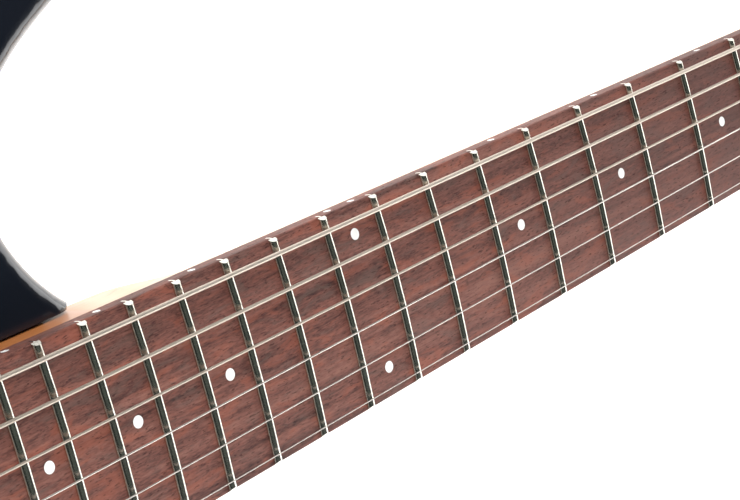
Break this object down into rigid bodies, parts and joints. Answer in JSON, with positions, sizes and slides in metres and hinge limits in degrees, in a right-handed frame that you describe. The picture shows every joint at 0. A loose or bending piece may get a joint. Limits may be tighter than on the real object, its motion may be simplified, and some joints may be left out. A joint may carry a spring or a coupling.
{
  "type": "electric guitar",
  "caption": "Solid-body double-cutaway electric guitar with a bolt-on maple neck, rosewood fingerboard, through-body strings and geared tuners.",
  "frame": {"origin": "on the body's flat back, on the centre line straight under the saddle line", "axes": "+X along the strings to the head, +Y to the bass side, +Z out of the face"},
  "size_m": [1.0186, 0.3143, 0.0645],
  "materials": {
    "body_lacquer": "solid wood under near-black navy gloss lacquer",
    "maple": "satin maple",
    "rosewood": "open-grained rosewood, lightly oiled",
    "fret_wire": "polished nickel-silver wire",
    "pearl_dot": "white inlay, polished flush",
    "bone": "cream bone",
    "string_steel": "plain and wound steel string",
    "chrome": "polished chrome",
    "plain_steel": "plain steel",
    "black_plastic": "black moulded plastic",
    "magnet": "bar magnet and keeper",
    "brass": "plain brass",
    "wire_sleeve": "cloth and plastic covered wire"
  },
  "bodies": {
    "guitar": {"body": "body_lacquer", "bolt_ferrules": "chrome", "bridge_plate": "chrome", "bridge_saddles": "chrome", "bridge_screws": "chrome", "control_cover": "black_plastic", "fingerboard": "rosewood", "frets": "fret_wire", "intonation_screws": "chrome", "jack_plate": "chrome", "neck": "maple", "neck_bolts": "chrome", "nut": "bone", "output_jack": "chrome", "pickup_base_plates": "plain_steel", "pickup_bobbins": "black_plastic", "pickup_height_screws": "chrome", "pickup_magnets": "magnet", "pickup_rings": "black_plastic", "pole_pieces": "chrome", "position_dots": "pearl_dot", "pot_nuts": "chrome", "potentiometers": "plain_steel", "saddle_height_screws": "plain_steel", "selector_switch": "plain_steel", "side_dots": "pearl_dot", "strap_buttons": "chrome", "string_1": "string_steel", "string_2": "string_steel", "string_3": "string_steel", "string_4": "string_steel", "string_5": "string_steel", "string_6": "string_steel", "string_ferrules": "chrome", "string_trees": "chrome", "trim_screws": "chrome", "truss_rod": "plain_steel", "truss_rod_cover": "black_plastic", "tuner_bushings": "chrome", "tuner_housings": "chrome", "wiring": "wire_sleeve"},
    "tuner_6_key": {"tuner_6_key": "chrome"},
    "tuner_6_post": {"tuner_6_post": "chrome"},
    "tuner_5_key": {"tuner_5_key": "chrome"},
    "tuner_5_post": {"tuner_5_post": "chrome"},
    "tuner_4_key": {"tuner_4_key": "chrome"},
    "tuner_4_post": {"tuner_4_post": "chrome"},
    "tuner_3_key": {"tuner_3_key": "chrome"},
    "tuner_3_post": {"tuner_3_post": "chrome"},
    "tuner_2_key": {"tuner_2_key": "chrome"},
    "tuner_2_post": {"tuner_2_post": "chrome"},
    "tuner_1_key": {"tuner_1_key": "chrome"},
    "tuner_1_post": {"tuner_1_post": "chrome"},
    "truss_rod_nut": {"truss_rod_nut": "plain_steel"},
    "volume_control": {"volume_knob": "chrome", "volume_shaft": "brass"},
    "tone_control": {"tone_knob": "chrome", "tone_shaft": "brass"},
    "selector": {"selector_lever": "plain_steel", "selector_tip": "black_plastic"}
  },
  "joints": [
    {"name": "tuner_6_key_turn", "type": "hinge", "parent": "guitar", "child": "tuner_6_key", "pos_m": [0.69416, 0.01848, 0.0275], "axis": [0.2601, 0.9656, 0], "continuous": true},
    {"name": "tuner_6_post_turn", "type": "hinge", "parent": "guitar", "child": "tuner_6_post", "pos_m": [0.6874, 0.0203, 0.0275], "axis": [0, 0, 1], "continuous": true},
    {"name": "tuner_5_key_turn", "type": "hinge", "parent": "guitar", "child": "tuner_5_key", "pos_m": [0.71866, 0.01188, 0.0275], "axis": [0.2601, 0.9656, 0], "continuous": true},
    {"name": "tuner_5_post_turn", "type": "hinge", "parent": "guitar", "child": "tuner_5_post", "pos_m": [0.7119, 0.0137, 0.0275], "axis": [0, 0, 1], "continuous": true},
    {"name": "tuner_4_key_turn", "type": "hinge", "parent": "guitar", "child": "tuner_4_key", "pos_m": [0.74316, 0.00528, 0.0275], "axis": [0.2601, 0.9656, 0], "continuous": true},
    {"name": "tuner_4_post_turn", "type": "hinge", "parent": "guitar", "child": "tuner_4_post", "pos_m": [0.7364, 0.0071, 0.0275], "axis": [0, 0, 1], "continuous": true},
    {"name": "tuner_3_key_turn", "type": "hinge", "parent": "guitar", "child": "tuner_3_key", "pos_m": [0.76766, -0.00132, 0.0275], "axis": [0.2601, 0.9656, 0], "continuous": true},
    {"name": "tuner_3_post_turn", "type": "hinge", "parent": "guitar", "child": "tuner_3_post", "pos_m": [0.7609, 0.0005, 0.0275], "axis": [0, 0, 1], "continuous": true},
    {"name": "tuner_2_key_turn", "type": "hinge", "parent": "guitar", "child": "tuner_2_key", "pos_m": [0.79216, -0.00792, 0.0275], "axis": [0.2601, 0.9656, 0], "continuous": true},
    {"name": "tuner_2_post_turn", "type": "hinge", "parent": "guitar", "child": "tuner_2_post", "pos_m": [0.7854, -0.0061, 0.0275], "axis": [0, 0, 1], "continuous": true},
    {"name": "tuner_1_key_turn", "type": "hinge", "parent": "guitar", "child": "tuner_1_key", "pos_m": [0.81666, -0.01452, 0.0275], "axis": [0.2601, 0.9656, 0], "continuous": true},
    {"name": "tuner_1_post_turn", "type": "hinge", "parent": "guitar", "child": "tuner_1_post", "pos_m": [0.8099, -0.0127, 0.0275], "axis": [0, 0, 1], "continuous": true},
    {"name": "truss_rod_nut_turn", "type": "hinge", "parent": "guitar", "child": "truss_rod_nut", "pos_m": [0.66841, 0, 0.0435], "axis": [1, 0, 0], "range_deg": [-180, 180]},
    {"name": "volume_turn", "type": "hinge", "parent": "guitar", "child": "volume_control", "pos_m": [0.002, -0.084, 0.044], "axis": [0, 0, 1], "range_deg": [0, 280]},
    {"name": "tone_turn", "type": "hinge", "parent": "guitar", "child": "tone_control", "pos_m": [-0.042, -0.097, 0.044], "axis": [0, 0, 1], "range_deg": [0, 280]},
    {"name": "selector_swing", "type": "hinge", "parent": "guitar", "child": "selector", "pos_m": [0.052, -0.071, 0.032], "axis": [-0.2388, 0.9711, 0], "range_deg": [-14, 14]}
  ],
  "couplings": [
    {"joint": "tuner_6_post_turn", "follows": "tuner_6_key_turn", "ratio": -0.066667},
    {"joint": "tuner_5_post_turn", "follows": "tuner_5_key_turn", "ratio": -0.066667},
    {"joint": "tuner_4_post_turn", "follows": "tuner_4_key_turn", "ratio": -0.066667},
    {"joint": "tuner_3_post_turn", "follows": "tuner_3_key_turn", "ratio": -0.066667},
    {"joint": "tuner_2_post_turn", "follows": "tuner_2_key_turn", "ratio": -0.066667},
    {"joint": "tuner_1_post_turn", "follows": "tuner_1_key_turn", "ratio": -0.066667}
  ]
}
